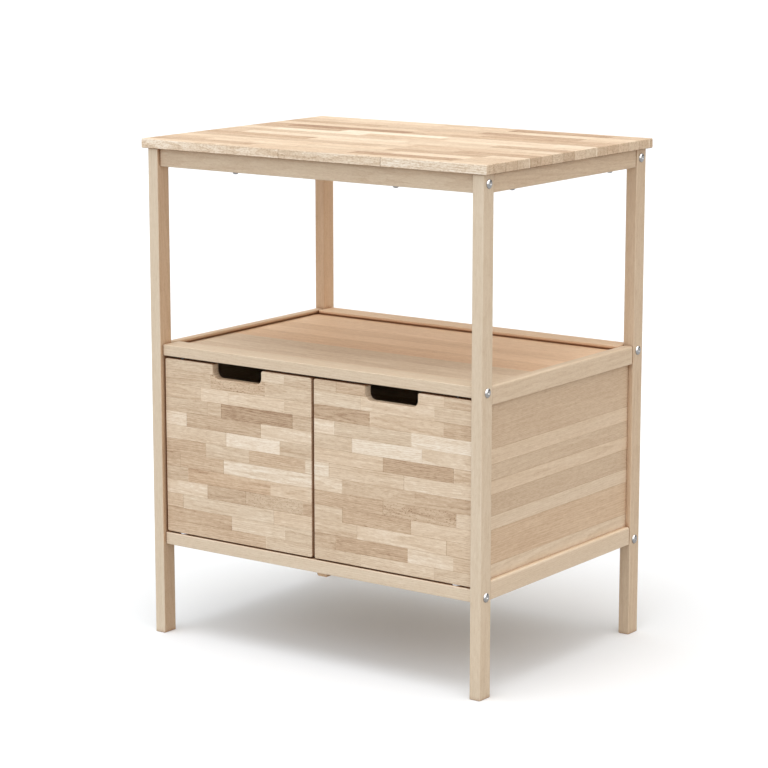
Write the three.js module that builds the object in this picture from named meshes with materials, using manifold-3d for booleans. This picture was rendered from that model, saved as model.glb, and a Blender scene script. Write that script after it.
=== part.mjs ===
// Changing table: open frame of bolted beech rails between two glued side frames,
// finger-jointed tabletop, shelf panel set down between the middle rails, and a closed
// lower cabinet behind two pivot-hung doors.
// Units are millimetres. X runs along the front, the front faces -Y, Z is up and
// the floor is z = 0. The origin is the centre of the footprint.
import * as THREE from 'three';
import { mergeVertices } from 'three/addons/utils/BufferGeometryUtils.js';
import Module from 'manifold-3d';

const wasm = await Module();
wasm.setup();

// ---- driving dimensions -------------------------------------------------------------

const GAP = 0.3;            // clearance left between two pieces that meet

// tabletop
const TOP_WIDTH = 704;
const TOP_DEPTH = 508;
const TOP_THICKNESS = 16.2;
const TOP_UNDERSIDE = 850;
const TOP_CORNER = 2.5;     // corner radius seen from above
const TOP_EASE = 1.4;       // eased edge

// posts
const FRAME_WIDTH = 684;    // over the posts, along X
const FRAME_DEPTH = 496;    // over the posts, along Y
const POST_X = 20.6;
const POST_Y = 29.8;
const POST_EASE = 1.6;
const POST_FOOT_CHAMFER = 1;

// rails
const RAIL_SETBACK = 6.4;       // front and back rails behind the posts' outer faces
const SIDE_RAIL_SETBACK = 1;    // side rails behind the posts' outer faces
const UPPER_RAIL_HEIGHT = 30.5;
const UPPER_RAIL_THICKNESS = 18.6;
const MIDDLE_RAIL_HEIGHT = 19;  // middle and lower front and back rails lie flat
const LOWER_RAIL_HEIGHT = 21.3;
const FLAT_RAIL_DEPTH = 41.6;
const SIDE_RAIL_GAP = 1;        // open joint line between a side rail and a post
const SIDE_RAIL_THICKNESS = 16.4;
const SIDE_RAIL_HEIGHT = 31.5;
const SIDE_RAIL_ROUND = 4;      // outer top edge
const RAIL_EASE = 1.4;
const RAIL_END_EASE = 1.3;
const MIDDLE_RAIL_TOP = 512.7;
const LOWER_RAIL_BOTTOM = 160;
const SIDE_LOWER_BOTTOM = 162.3;

// shelf panel and bottom panel, each floating in grooves of the rails
const PANEL_REACH = 5.5;        // how far a panel stands in its groove
const PANEL_EASE = 0.4;
const GROOVE_DEPTH = 6;
const SHELF_TOP = 505;
const SHELF_THICKNESS = 7;
const SHELF_STEP = 0.4;         // how far the shelf's edge in the groove lies below its top
const SHELF_REVEAL = 0.6;
const SHELF_SLOT = 2;           // open slot above the shelf panel
const SHELF_LIP = 1.5;          // bevel of the slot's upper lip
const FLOOR_TOP = 173;
const FLOOR_THICKNESS = 10.7;
const FLOOR_REVEAL = 1;
const TONGUE = 4;               // tongue round the bottom panel
const TONGUE_BOTTOM = 166.5;

// thin side and back panels
const SKIN = 4.4;
const SKIN_GROOVE = 5;          // width of the groove that holds one
const SKIN_REACH = 5;
const SKIN_GROOVE_DEPTH = 5.5;
const SIDE_SKIN_X = 330.3;      // centre of the side panels
const BACK_SKIN_Y = 233;        // centre of the back panel
const BACK_SKIN_REACH = 4.4;    // into the back rails, short of their bolts

// batten under the bottom panel
const BATTEN_WIDTH = 18.4;
const BATTEN_LENGTH = 429;
const BATTEN_HEIGHT = 13.3;
const BATTEN_SCREW_Y = 208.8;
const BATTEN_RECESS = 3.8;      // counterbore that hides each batten screw's head

// doors
const DOOR_FRONT = -239.6;
const DOOR_THICKNESS = 16;
const DOOR_BOTTOM = 184;
const DOOR_TOP = 489.4;
const DOOR_SIDE_GAP = 3.4;        // door edge to post
const DOOR_MEETING_GAP = 5.6;   // between the two doors
const DOOR_CORNER = 3;
const DOOR_EASE = 0.9;
const HANDLE_WIDTH = 105;       // hand hole cut down from the door's top edge
const HANDLE_DEPTH = 24.4;
const HANDLE_RADIUS = 12;
const HANDLE_LIP = 3;

// door pivots
const PIVOT_INSET = 32.6;       // from the door's outer edge
const PIN_RADIUS = 3;
const PIN_IN_RAIL = 11;
const PIN_IN_DOOR = 12;
const PIN_CLEARANCE = 0.08;     // running clearance in the door
const WASHER_RADIUS = 7.4;

// frame bolts, M6 with a wide domed head and a hex socket
const BOLT_Y = 232.3;
const BOLT_RADIUS = 3;
const BOLT_LENGTH = 45;
const LOWER_BOLT_RISE = 9.5;     // above the lower rails' undersides
const BOLT_HEAD_RADIUS = 7.8;
const BOLT_HEAD_HEIGHT = 2.8;
const SOCKET_FLATS = 4.4;
const SOCKET_DEPTH = 1.9;

// screws that hold the tabletop, driven up through the upper rails
const TOP_SCREW_X = 164;        // in the front and back rails
const TOP_SCREW_Y = 149;        // in the side rails
const SCREW_RADIUS = 2;
const SCREW_HEAD_RADIUS = 4.6;
const SCREW_HEAD_HEIGHT = 3.2;
const SCREW_INTO_TOP = 10;
const SCREW_INTO_RAIL = 11;     // batten screws, up into the lower rails
const CROSS_LENGTH = 4.6;       // cross recess
const CROSS_WIDTH = 1.5;
const CROSS_DEPTH = 1.4;

// magnetic catches under the middle front rail
const CATCH_X = 62;
const CATCH_WIDTH = 30;
const CATCH_DEPTH = 11;
const CATCH_HEIGHT = 12;
const STRIKE_WIDTH = 18;
const STRIKE_HEIGHT = 7;
const STRIKE_THICKNESS = 0.8;
const STRIKE_DROP = 2.5;        // below the door's top edge

// ---- sizes that follow --------------------------------------------------------------

const POST_OUT_X = FRAME_WIDTH / 2;
const POST_IN_X = POST_OUT_X - POST_X;
const POST_OUT_Y = FRAME_DEPTH / 2;
const POST_IN_Y = POST_OUT_Y - POST_Y;
const RAIL_OUT_Y = POST_OUT_Y - RAIL_SETBACK;
const RAIL_END_X = POST_IN_X - GAP;
const SIDE_RAIL_OUT_X = POST_OUT_X - SIDE_RAIL_SETBACK;
const SIDE_RAIL_IN_X = SIDE_RAIL_OUT_X - SIDE_RAIL_THICKNESS;
const SIDE_RAIL_END_Y = POST_IN_Y - SIDE_RAIL_GAP;
const FLAT_RAIL_IN_Y = RAIL_OUT_Y - FLAT_RAIL_DEPTH;
const POST_TOP = TOP_UNDERSIDE - GAP;
const UPPER_RAIL_BOTTOM = POST_TOP - UPPER_RAIL_HEIGHT;
const MIDDLE_RAIL_BOTTOM = MIDDLE_RAIL_TOP - MIDDLE_RAIL_HEIGHT;
const LOWER_RAIL_TOP = LOWER_RAIL_BOTTOM + LOWER_RAIL_HEIGHT;
const SIDE_MIDDLE_BOTTOM = MIDDLE_RAIL_TOP - SIDE_RAIL_HEIGHT;
const SIDE_LOWER_TOP = SIDE_LOWER_BOTTOM + SIDE_RAIL_HEIGHT;
const BOLT_LEVELS = {
  upper: UPPER_RAIL_BOTTOM + UPPER_RAIL_HEIGHT / 2,
  middle: MIDDLE_RAIL_BOTTOM + MIDDLE_RAIL_HEIGHT / 2,
  lower: LOWER_RAIL_BOTTOM + LOWER_BOLT_RISE,
};
const GROOVES = {               // lowest and highest point of the panel grooves
  middle: [SHELF_TOP - SHELF_THICKNESS - GAP, SHELF_TOP + SHELF_SLOT],
  lower: [TONGUE_BOTTOM - GAP, TONGUE_BOTTOM + TONGUE + GAP],
};
const PANEL_X = SIDE_RAIL_IN_X + PANEL_REACH;
const PANEL_Y = FLAT_RAIL_IN_Y + PANEL_REACH;
const DOOR_BACK = DOOR_FRONT + DOOR_THICKNESS;
const DOOR_OUT_X = POST_IN_X - DOOR_SIDE_GAP;
const DOOR_IN_X = DOOR_MEETING_GAP / 2;
const PIVOT_X = DOOR_OUT_X - PIVOT_INSET;
const PIVOT_Y = (DOOR_FRONT + DOOR_BACK) / 2;

// ---- materials ----------------------------------------------------------------------

const beech = (color, roughness) => new THREE.MeshStandardMaterial({ color, roughness, metalness: 0 });
const MATERIALS = {
  post: beech(0xd8c3a5, 0.62),
  rail: beech(0xdbc6a8, 0.62),
  block: beech(0xe6d2b5, 0.6),
  door: beech(0xdcc4a2, 0.6),
  panel: beech(0xcfb590, 0.64),
  batten: beech(0xc4a682, 0.7),
  bolt: new THREE.MeshStandardMaterial({ color: 0xc9ccd0, roughness: 0.25, metalness: 1 }),
  screw: new THREE.MeshStandardMaterial({ color: 0xb9bcc0, roughness: 0.38, metalness: 1 }),
  catch: new THREE.MeshStandardMaterial({ color: 0xe9e6df, roughness: 0.5, metalness: 0 }),
  nylon: new THREE.MeshStandardMaterial({ color: 0xf0f2f4, roughness: 0.45, metalness: 0 }),
};

// ---- solid helpers ------------------------------------------------------------------

// closed solid from a three.js geometry
function solid(geometry) {
  const g = geometry.clone();
  g.deleteAttribute('normal');
  g.deleteAttribute('uv');
  const m = mergeVertices(g, 1e-4);
  return new wasm.Manifold(new wasm.Mesh({
    numProp: 3,
    vertProperties: new Float32Array(m.attributes.position.array),
    triVerts: new Uint32Array(m.index.array),
  }));
}

function geometryOf(body) {
  const m = body.getMesh();
  const g = new THREE.BufferGeometry();
  g.setAttribute('position', new THREE.BufferAttribute(new Float32Array(m.vertProperties), 3));
  g.setIndex(new THREE.BufferAttribute(new Uint32Array(m.triVerts), 1));
  g.computeVertexNormals();
  return g;
}

const cut = (body, ...tools) => tools.reduce((a, b) => a.subtract(b), body);

function box(x0, x1, y0, y1, z0, z1) {
  const g = new THREE.BoxGeometry(x1 - x0, y1 - y0, z1 - z0);
  g.translate((x0 + x1) / 2, (y0 + y1) / 2, (z0 + z1) / 2);
  return solid(g);
}

// rounded rectangle outline; radii run bottom-left, bottom-right, top-right, top-left
function outline(u0, u1, v0, v1, radii) {
  const [bl, br, tr, tl] = radii;
  const s = new THREE.Shape();
  s.moveTo(u0 + bl, v0);
  s.lineTo(u1 - br, v0);
  s.absarc(u1 - br, v0 + br, br, -Math.PI / 2, 0, false);
  s.lineTo(u1, v1 - tr);
  s.absarc(u1 - tr, v1 - tr, tr, 0, Math.PI / 2, false);
  s.lineTo(u0 + tl, v1);
  s.absarc(u0 + tl, v1 - tl, tl, Math.PI / 2, Math.PI, false);
  s.lineTo(u0, v0 + bl);
  s.absarc(u0 + bl, v0 + bl, bl, Math.PI, Math.PI * 1.5, false);
  return s;
}

// prism along Z, its outline drawn in X and Y, with eased ends
function prismZ(shape, z0, z1, ease, steps) {
  const g = new THREE.ExtrudeGeometry(shape, {
    depth: z1 - z0 - 2 * ease, curveSegments: 4,
    bevelEnabled: ease > 0, bevelThickness: ease, bevelSize: ease, bevelOffset: -ease,
    bevelSegments: steps,
  });
  g.translate(0, 0, z0 + ease);
  return solid(g);
}

// prism along X, its outline drawn in Y and Z
function prismX(shape, x0, x1, ease = 0) {
  const g = new THREE.ExtrudeGeometry(shape, {
    depth: x1 - x0 - 2 * ease, curveSegments: 4,
    bevelEnabled: ease > 0, bevelThickness: ease, bevelSize: ease, bevelOffset: -ease,
    bevelSegments: 1,
  });
  g.applyMatrix4(new THREE.Matrix4().makeBasis(
    new THREE.Vector3(0, 1, 0), new THREE.Vector3(0, 0, 1), new THREE.Vector3(1, 0, 0)));
  g.translate(x0 + ease, 0, 0);
  return solid(g);
}

// prism along Y, its outline drawn in X and Z
function prismY(shape, y0, y1, ease = 0, steps = 1) {
  const g = new THREE.ExtrudeGeometry(shape, {
    depth: y1 - y0 - 2 * ease, curveSegments: 6,
    bevelEnabled: ease > 0, bevelThickness: ease, bevelSize: ease, bevelOffset: -ease,
    bevelSegments: steps,
  });
  g.applyMatrix4(new THREE.Matrix4().makeBasis(
    new THREE.Vector3(1, 0, 0), new THREE.Vector3(0, 0, 1), new THREE.Vector3(0, -1, 0)));
  g.translate(0, y1 - ease, 0);
  return solid(g);
}

function rodX(r, x0, x1, y, z, sides = 24) {
  const g = new THREE.CylinderGeometry(r, r, x1 - x0, sides);
  g.rotateZ(Math.PI / 2);
  g.translate((x0 + x1) / 2, y, z);
  return solid(g);
}

function rodZ(r, x, y, z0, z1, sides = 24) {
  const g = new THREE.CylinderGeometry(r, r, z1 - z0, sides);
  g.rotateX(Math.PI / 2);
  g.translate(x, y, (z0 + z1) / 2);
  return solid(g);
}

// outline of a panel groove in a rail: it opens at u = mouth and runs inwards, and above the
// shelf its upper lip is bevelled
function grooveOutline(mouth, inwards, level) {
  const [z0, z1] = GROOVES[level];
  const lip = level === 'middle' ? SHELF_LIP : 0;
  const s = new THREE.Shape();
  s.moveTo(mouth - inwards, z0);
  s.lineTo(mouth + inwards * GROOVE_DEPTH, z0);
  s.lineTo(mouth + inwards * GROOVE_DEPTH, z1);
  s.lineTo(mouth + inwards * lip, z1);
  s.lineTo(mouth - inwards, z1 + lip + Math.sign(lip));
  return s;
}

// ---- scene graph --------------------------------------------------------------------

// the fixed frame, and one group per door that turns about its own origin on the pivot line
const table = new THREE.Group();
const frame = new THREE.Group();
table.add(frame);

// a piece modelled where it stands in the table
function piece(name, body, material, group = frame) {
  const geometry = geometryOf(body);
  geometry.translate(-group.position.x, -group.position.y, -group.position.z);
  const mesh = new THREE.Mesh(geometry, material);
  mesh.name = name;
  group.add(mesh);
}

// one copy of a repeated piece, turned about Z and set at a point
function copy(name, geometry, material, x, y, z, turn = 0) {
  const mesh = new THREE.Mesh(geometry, material);
  mesh.name = name;
  mesh.rotation.z = turn;
  mesh.position.set(x, y, z);
  frame.add(mesh);
}

// a span on the positive side, or the same span mirrored to the negative side
const span = (sign, a, b) => (sign > 0 ? [a, b] : [-b, -a]);
const SIDES = [['left', -1], ['right', 1]];
const ENDS = [['front', -1], ['back', 1]];

// ---- posts --------------------------------------------------------------------------

for (const [end, sy] of ENDS) {
  for (const [side, sx] of SIDES) {
    const [x0, x1] = span(sx, POST_IN_X, POST_OUT_X);
    const [y0, y1] = span(sy, POST_IN_Y, POST_OUT_Y);
    const r = POST_EASE;
    let post = prismZ(outline(x0, x1, y0, y1, [r, r, r, r]), 0, POST_TOP, POST_FOOT_CHAMFER, 1);
    for (const z of Object.values(BOLT_LEVELS)) {
      post = cut(post, rodX(BOLT_RADIUS + GAP, x0 - 1, x1 + 1, sy * BOLT_Y, z));
    }
    // groove for the side panel
    const [gy0, gy1] = span(sy, POST_IN_Y - 1, POST_IN_Y + SKIN_GROOVE_DEPTH);
    post = cut(post, box(
      sx * SIDE_SKIN_X - SKIN_GROOVE / 2, sx * SIDE_SKIN_X + SKIN_GROOVE / 2, gy0, gy1,
      SIDE_LOWER_TOP - SKIN_GROOVE_DEPTH, SIDE_MIDDLE_BOTTOM + SKIN_GROOVE_DEPTH));
    if (sy > 0) {
      // groove for the back panel
      const [gx0, gx1] = span(sx, POST_IN_X - 1, POST_IN_X + SKIN_REACH + GAP);
      post = cut(post, box(gx0, gx1, BACK_SKIN_Y - SKIN_GROOVE / 2, BACK_SKIN_Y + SKIN_GROOVE / 2,
        LOWER_RAIL_TOP - BACK_SKIN_REACH - GAP, MIDDLE_RAIL_BOTTOM + BACK_SKIN_REACH + GAP));
    }
    piece(`post_${end}_${side}`, post, MATERIALS.post);
  }
}

// ---- front and back rails -----------------------------------------------------------

for (const [end, sy] of ENDS) {
  const e = RAIL_EASE;

  const [u0, u1] = span(sy, RAIL_OUT_Y - UPPER_RAIL_THICKNESS, RAIL_OUT_Y);
  let upper = prismX(outline(u0, u1, UPPER_RAIL_BOTTOM, POST_TOP, [e, e, e, e]),
    -RAIL_END_X, RAIL_END_X, RAIL_END_EASE);
  for (const [, sx] of SIDES) {
    const [b0, b1] = span(sx, POST_OUT_X - BOLT_LENGTH - 1, POST_OUT_X);
    upper = cut(upper,
      rodX(BOLT_RADIUS + GAP, b0, b1, sy * BOLT_Y, BOLT_LEVELS.upper),
      rodZ(SCREW_RADIUS + GAP, sx * TOP_SCREW_X, sy * BOLT_Y, UPPER_RAIL_BOTTOM - 1, POST_TOP + 1, 20));
  }
  piece(`upper_rail_${end}`, upper, MATERIALS.rail);

  const [f0, f1] = span(sy, FLAT_RAIL_IN_Y, RAIL_OUT_Y);
  for (const level of ['middle', 'lower']) {
    const [z0, z1] = level === 'middle'
      ? [MIDDLE_RAIL_BOTTOM, MIDDLE_RAIL_TOP] : [LOWER_RAIL_BOTTOM, LOWER_RAIL_TOP];
    let rail = prismX(outline(f0, f1, z0, z1, [e, e, e, e]), -RAIL_END_X, RAIL_END_X, RAIL_END_EASE);
    rail = cut(rail,
      prismX(grooveOutline(sy * FLAT_RAIL_IN_Y, sy, level), -RAIL_END_X - 1, RAIL_END_X + 1));
    for (const [, sx] of SIDES) {
      const [b0, b1] = span(sx, POST_OUT_X - BOLT_LENGTH - 1, POST_OUT_X);
      rail = cut(rail, rodX(BOLT_RADIUS + GAP, b0, b1, sy * BOLT_Y, BOLT_LEVELS[level]));
      if (sy < 0) {
        // door pivot hole
        const [p0, p1] = level === 'middle'
          ? [z0 - 1, z0 + PIN_IN_RAIL + GAP] : [z1 - PIN_IN_RAIL - GAP, z1 + 1];
        rail = cut(rail, rodZ(PIN_RADIUS + GAP, sx * PIVOT_X, PIVOT_Y, p0, p1));
      }
    }
    if (sy > 0) {
      // groove for the back panel
      const reach = BACK_SKIN_REACH + GAP;
      const [p0, p1] = level === 'middle' ? [z0 - 1, z0 + reach] : [z1 - reach, z1 + 1];
      rail = cut(rail, box(-RAIL_END_X - 1, RAIL_END_X + 1,
        BACK_SKIN_Y - SKIN_GROOVE / 2, BACK_SKIN_Y + SKIN_GROOVE / 2, p0, p1));
    }
    if (level === 'lower') {
      rail = cut(rail, rodZ(SCREW_RADIUS + GAP, 0, sy * BATTEN_SCREW_Y,
        z0 - 1, z0 + SCREW_INTO_RAIL + 1, 20));
    }
    piece(`${level}_rail_${end}`, rail, MATERIALS.rail);
  }
}

// ---- side rails ---------------------------------------------------------------------

for (const [side, sx] of SIDES) {
  const [x0, x1] = span(sx, SIDE_RAIL_IN_X, SIDE_RAIL_OUT_X);
  const e = RAIL_EASE;
  const R = SIDE_RAIL_ROUND;
  // the outer top edge carries the larger round
  const rounded = sx > 0 ? [e, e, R, e] : [e, e, e, R];
  const skin0 = sx * SIDE_SKIN_X - SKIN_GROOVE / 2;
  const skin1 = sx * SIDE_SKIN_X + SKIN_GROOVE / 2;
  const groove = (level) => prismY(
    grooveOutline(sx * SIDE_RAIL_IN_X, sx, level), -SIDE_RAIL_END_Y - 1, SIDE_RAIL_END_Y + 1);

  let upper = prismY(outline(x0, x1, UPPER_RAIL_BOTTOM, POST_TOP, [e, e, e, e]),
    -SIDE_RAIL_END_Y, SIDE_RAIL_END_Y, RAIL_END_EASE);
  for (const [, sy] of ENDS) {
    upper = cut(upper, rodZ(SCREW_RADIUS + GAP, sx * SIDE_SKIN_X, sy * TOP_SCREW_Y,
      UPPER_RAIL_BOTTOM - 1, POST_TOP + 1, 20));
  }
  piece(`upper_rail_${side}`, upper, MATERIALS.rail);

  let middle = prismY(outline(x0, x1, SIDE_MIDDLE_BOTTOM, MIDDLE_RAIL_TOP, rounded),
    -SIDE_RAIL_END_Y, SIDE_RAIL_END_Y, RAIL_END_EASE);
  middle = cut(middle, groove('middle'),
    box(skin0, skin1, -SIDE_RAIL_END_Y - 1, SIDE_RAIL_END_Y + 1,
      SIDE_MIDDLE_BOTTOM - 1, SIDE_MIDDLE_BOTTOM + SKIN_GROOVE_DEPTH));
  piece(`middle_rail_${side}`, middle, MATERIALS.rail);

  let lower = prismY(outline(x0, x1, SIDE_LOWER_BOTTOM, SIDE_LOWER_TOP, rounded),
    -SIDE_RAIL_END_Y, SIDE_RAIL_END_Y, RAIL_END_EASE);
  lower = cut(lower, groove('lower'),
    box(skin0, skin1, -SIDE_RAIL_END_Y - 1, SIDE_RAIL_END_Y + 1,
      SIDE_LOWER_TOP - SKIN_GROOVE_DEPTH, SIDE_LOWER_TOP + 1));
  piece(`lower_rail_${side}`, lower, MATERIALS.rail);
}

// ---- tabletop -----------------------------------------------------------------------

{
  const c = TOP_CORNER;
  let top = prismZ(outline(-TOP_WIDTH / 2, TOP_WIDTH / 2, -TOP_DEPTH / 2, TOP_DEPTH / 2, [c, c, c, c]),
    TOP_UNDERSIDE, TOP_UNDERSIDE + TOP_THICKNESS, TOP_EASE, 2);
  const bore = (x, y) => rodZ(SCREW_RADIUS + GAP, x, y, TOP_UNDERSIDE - 1,
    TOP_UNDERSIDE + SCREW_INTO_TOP + GAP, 20);
  for (const [, sx] of SIDES) {
    for (const [, sy] of ENDS) {
      top = cut(top, bore(sx * TOP_SCREW_X, sy * BOLT_Y), bore(sx * SIDE_SKIN_X, sy * TOP_SCREW_Y));
    }
  }
  piece('tabletop', top, MATERIALS.block);
}

// ---- shelf panel and bottom panel ---------------------------------------------------

// a field between the rails and a tongue all round that stands in their grooves
function floatingPanel(name, reveal, bottom, top, tongueBottom, tongueTop) {
  const fx = SIDE_RAIL_IN_X - reveal;
  const fy = FLAT_RAIL_IN_Y - reveal;
  const field = prismZ(outline(-fx, fx, -fy, fy, [1, 1, 1, 1]), bottom, top, PANEL_EASE, 1);
  const tongue = box(-PANEL_X, PANEL_X, -PANEL_Y, PANEL_Y, tongueBottom, tongueTop);
  piece(name, field.add(tongue), MATERIALS.panel);
}
floatingPanel('shelf_panel', SHELF_REVEAL, SHELF_TOP - SHELF_THICKNESS / 2, SHELF_TOP,
  SHELF_TOP - SHELF_THICKNESS, SHELF_TOP - SHELF_STEP);
floatingPanel('bottom_panel', FLOOR_REVEAL, FLOOR_TOP - FLOOR_THICKNESS, FLOOR_TOP,
  TONGUE_BOTTOM, TONGUE_BOTTOM + TONGUE);

// ---- side and back panels -----------------------------------------------------------

for (const [side, sx] of SIDES) {
  piece(`side_panel_${side}`, box(
    sx * SIDE_SKIN_X - SKIN / 2, sx * SIDE_SKIN_X + SKIN / 2,
    -POST_IN_Y - SKIN_REACH, POST_IN_Y + SKIN_REACH,
    SIDE_LOWER_TOP - SKIN_REACH, SIDE_MIDDLE_BOTTOM + SKIN_REACH), MATERIALS.panel);
}
piece('back_panel', box(
  -POST_IN_X - SKIN_REACH, POST_IN_X + SKIN_REACH,
  BACK_SKIN_Y - SKIN / 2, BACK_SKIN_Y + SKIN / 2,
  LOWER_RAIL_TOP - BACK_SKIN_REACH, MIDDLE_RAIL_BOTTOM + BACK_SKIN_REACH), MATERIALS.panel);

// ---- batten under the bottom panel --------------------------------------------------

const BATTEN_TOP = LOWER_RAIL_BOTTOM - GAP;
const BATTEN_BOTTOM = BATTEN_TOP - BATTEN_HEIGHT;
const BATTEN_SCREW_SEAT = BATTEN_BOTTOM + BATTEN_RECESS;
{
  const section = outline(-BATTEN_WIDTH / 2, BATTEN_WIDTH / 2, BATTEN_BOTTOM, BATTEN_TOP, [1, 1, 1, 1]);
  let batten = prismY(section, -BATTEN_LENGTH / 2, BATTEN_LENGTH / 2);
  for (const [, sy] of ENDS) {
    const y = sy * BATTEN_SCREW_Y;
    batten = cut(batten,
      rodZ(SCREW_RADIUS + GAP, 0, y, BATTEN_BOTTOM - 1, BATTEN_TOP + 1, 20),
      rodZ(SCREW_HEAD_RADIUS + GAP, 0, y, BATTEN_BOTTOM - 1, BATTEN_SCREW_SEAT, 20));
  }
  piece('bottom_batten', batten, MATERIALS.batten);
}

// ---- doors --------------------------------------------------------------------------

for (const [side, sx] of SIDES) {
  const [x0, x1] = span(sx, DOOR_IN_X, DOOR_OUT_X);
  const mid = (x0 + x1) / 2;
  const h0 = mid - HANDLE_WIDTH / 2;
  const h1 = mid + HANDLE_WIDTH / 2;
  const hb = DOOR_TOP - HANDLE_DEPTH;
  const c = DOOR_CORNER;
  const s = new THREE.Shape();
  s.moveTo(x0 + c, DOOR_BOTTOM);
  s.lineTo(x1 - c, DOOR_BOTTOM);
  s.absarc(x1 - c, DOOR_BOTTOM + c, c, -Math.PI / 2, 0, false);
  s.lineTo(x1, DOOR_TOP - c);
  s.absarc(x1 - c, DOOR_TOP - c, c, 0, Math.PI / 2, false);
  // hand hole: right lip, right corner, left corner, left lip
  s.lineTo(h1 + HANDLE_LIP, DOOR_TOP);
  s.absarc(h1 + HANDLE_LIP, DOOR_TOP - HANDLE_LIP, HANDLE_LIP, Math.PI / 2, Math.PI, false);
  s.lineTo(h1, hb + HANDLE_RADIUS);
  s.absarc(h1 - HANDLE_RADIUS, hb + HANDLE_RADIUS, HANDLE_RADIUS, 0, -Math.PI / 2, true);
  s.lineTo(h0 + HANDLE_RADIUS, hb);
  s.absarc(h0 + HANDLE_RADIUS, hb + HANDLE_RADIUS, HANDLE_RADIUS, -Math.PI / 2, -Math.PI, true);
  s.lineTo(h0, DOOR_TOP - HANDLE_LIP);
  s.absarc(h0 - HANDLE_LIP, DOOR_TOP - HANDLE_LIP, HANDLE_LIP, 0, Math.PI / 2, false);
  s.lineTo(x0 + c, DOOR_TOP);
  s.absarc(x0 + c, DOOR_TOP - c, c, Math.PI / 2, Math.PI, false);
  s.lineTo(x0, DOOR_BOTTOM + c);
  s.absarc(x0 + c, DOOR_BOTTOM + c, c, Math.PI, Math.PI * 1.5, false);
  let door = prismY(s, DOOR_FRONT, DOOR_BACK, DOOR_EASE, 2);
  door = cut(door,
    rodZ(
      PIN_RADIUS + PIN_CLEARANCE, sx * PIVOT_X, PIVOT_Y,
      DOOR_BOTTOM - 1, DOOR_BOTTOM + PIN_IN_DOOR + GAP),
    rodZ(PIN_RADIUS + PIN_CLEARANCE, sx * PIVOT_X, PIVOT_Y, DOOR_TOP - PIN_IN_DOOR - GAP, DOOR_TOP + 1));
  const leaf = new THREE.Group();
  leaf.position.set(sx * PIVOT_X, PIVOT_Y, 0);
  table.add(leaf);
  piece(`door_${side}`, door, MATERIALS.door, leaf);

  // pivot pins stand in the rails and enter the door's bottom and top edges
  piece(`door_${side}_pin_bottom`, rodZ(PIN_RADIUS, sx * PIVOT_X, PIVOT_Y,
    LOWER_RAIL_TOP - PIN_IN_RAIL, DOOR_BOTTOM + PIN_IN_DOOR), MATERIALS.bolt);
  piece(`door_${side}_pin_top`, rodZ(PIN_RADIUS, sx * PIVOT_X, PIVOT_Y,
    DOOR_TOP - PIN_IN_DOOR, MIDDLE_RAIL_BOTTOM + PIN_IN_RAIL), MATERIALS.bolt);

  // washer that carries the door on the lower rail
  piece(`door_${side}_washer`, cut(
    rodZ(WASHER_RADIUS, sx * PIVOT_X, PIVOT_Y, LOWER_RAIL_TOP + GAP, DOOR_BOTTOM - GAP),
    rodZ(PIN_RADIUS + GAP, sx * PIVOT_X, PIVOT_Y, LOWER_RAIL_TOP, DOOR_BOTTOM)), MATERIALS.nylon);

  // magnetic catch under the rail, strike plate on the door's back
  const strikeBack = DOOR_BACK + GAP + STRIKE_THICKNESS;
  const cz1 = MIDDLE_RAIL_BOTTOM - GAP;
  const cz0 = cz1 - CATCH_HEIGHT;
  const catchPlan = outline(
    sx * CATCH_X - CATCH_WIDTH / 2, sx * CATCH_X + CATCH_WIDTH / 2,
    strikeBack + GAP, strikeBack + GAP + CATCH_DEPTH, [1.5, 1.5, 1.5, 1.5]);
  piece(`catch_${side}`, prismZ(catchPlan, cz0, cz1, 0.6, 1), MATERIALS.catch);
  piece(`strike_plate_${side}`, prismY(outline(
    sx * CATCH_X - STRIKE_WIDTH / 2, sx * CATCH_X + STRIKE_WIDTH / 2,
    DOOR_TOP - STRIKE_DROP - STRIKE_HEIGHT, DOOR_TOP - STRIKE_DROP, [1.5, 1.5, 1.5, 1.5]),
  DOOR_BACK + GAP, strikeBack), MATERIALS.screw, leaf);
}

// ---- frame bolts --------------------------------------------------------------------

// wide domed head and plain shank turned about X, the head towards +X, its seat at x = 0
function boltGeometry() {
  const r = BOLT_HEAD_RADIUS;
  const h = BOLT_HEAD_HEIGHT;
  const profile = [
    [0, -BOLT_LENGTH], [BOLT_RADIUS - 0.6, -BOLT_LENGTH], [BOLT_RADIUS, -BOLT_LENGTH + 0.8],
    [BOLT_RADIUS, GAP], [r - 0.5, GAP], [r, GAP + 0.5], [r - 0.25, GAP + 1.0],
    [r - 1.2, GAP + 1.9], [r - 3, GAP + h - 0.3], [r - 4.8, GAP + h], [0, GAP + h],
  ].map(([radius, along]) => new THREE.Vector2(radius, along));
  const turned = new THREE.LatheGeometry(profile, 22);
  turned.rotateZ(-Math.PI / 2);
  const top = GAP + h;
  const socket = rodX(SOCKET_FLATS / Math.sqrt(3), top - SOCKET_DEPTH, top + 1, 0, 0, 6);
  return geometryOf(cut(solid(turned), socket));
}

const BOLT = boltGeometry();
for (const [level, z] of Object.entries(BOLT_LEVELS)) {
  for (const [end, sy] of ENDS) {
    for (const [side, sx] of SIDES) {
      copy(`bolt_${level}_${end}_${side}`, BOLT, MATERIALS.bolt,
        sx * POST_OUT_X, sy * BOLT_Y, z, sx > 0 ? 0 : Math.PI);
    }
  }
}

// ---- screws -------------------------------------------------------------------------

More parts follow.
